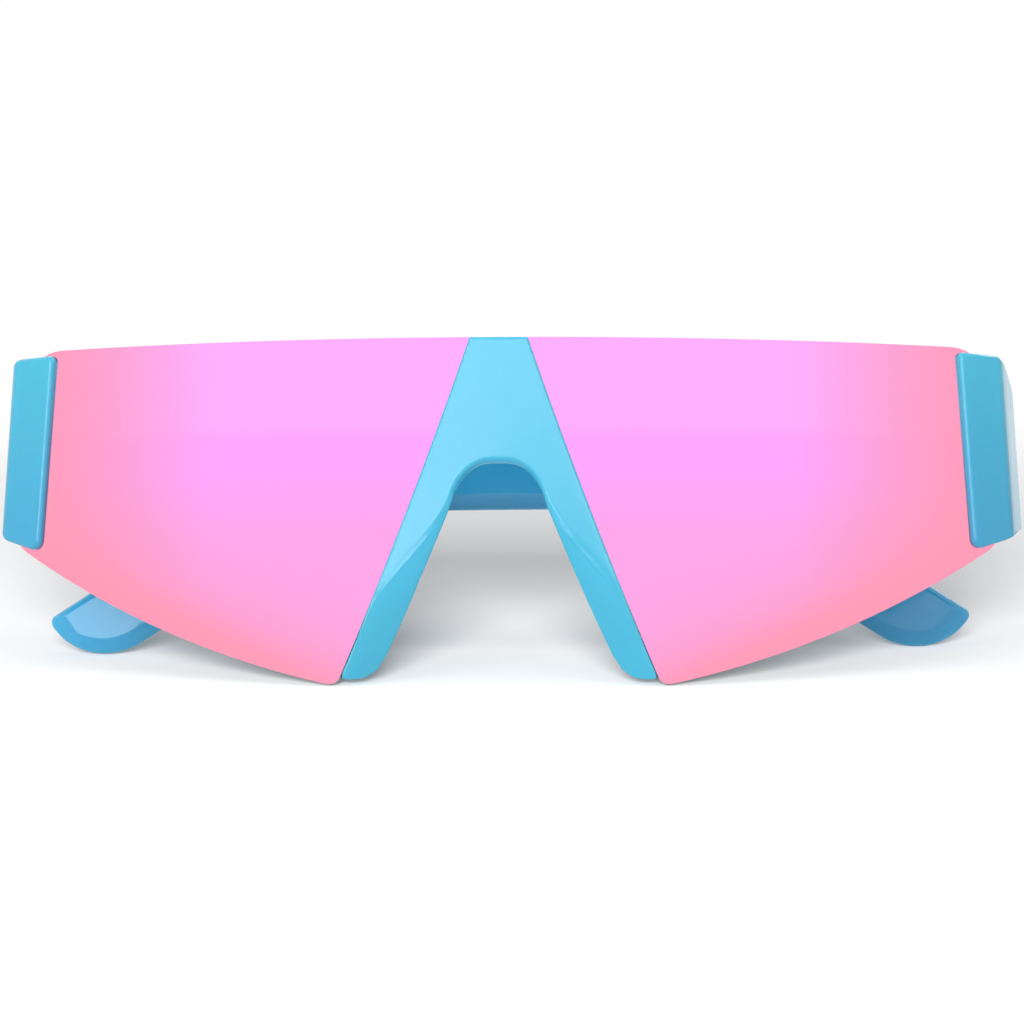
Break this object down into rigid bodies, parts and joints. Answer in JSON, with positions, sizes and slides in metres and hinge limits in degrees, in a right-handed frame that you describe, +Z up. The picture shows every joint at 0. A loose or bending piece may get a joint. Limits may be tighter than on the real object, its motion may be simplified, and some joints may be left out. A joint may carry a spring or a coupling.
{
  "type": "shield sunglasses",
  "caption": "Shield sunglasses with pink mirrored lens panels set flush beside a blue A-shaped bridge, blue end blocks and blue temples, shown folded and standing on their lower edge.",
  "frame": {"origin": "bottom centre of the bounding box of the folded sunglasses, on the surface they stand on", "axes": "+X to the wearer's left, +Y from the lens front to the back, +Z up; millimetres"},
  "size_m": [0.156, 0.0476, 0.0502],
  "materials": {
    "frame": "glossy sky blue injection-moulded plastic",
    "lens": "pink to violet mirror coat on dark smoke lens",
    "hinge": "satin nickel silver",
    "screw": "bright nickel plate"
  },
  "bodies": {
    "front": {"front_frame": "frame", "lens_left": "lens", "lens_right": "lens", "end_block_left": "frame", "end_block_right": "frame", "hinge_front_leaf_left": "hinge", "hinge_front_leaf_right": "hinge", "hinge_screw_left": "screw", "hinge_screw_right": "screw"},
    "temple_left": {"temple_left": "frame", "hinge_temple_leaf_left": "hinge"},
    "temple_right": {"temple_right": "frame", "hinge_temple_leaf_right": "hinge"}
  },
  "joints": [
    {"name": "temple_left_hinge", "type": "hinge", "parent": "front", "child": "temple_left", "pos_m": [0.07244, 0.01618, 0.02887], "axis": [0, -0.1715, -0.9852], "range_deg": [0, 92.2]},
    {"name": "temple_right_hinge", "type": "hinge", "parent": "front", "child": "temple_right", "pos_m": [-0.07244, 0.01618, 0.02887], "axis": [-0.0098, 0.1715, 0.9851], "range_deg": [0, 88.6]}
  ]
}
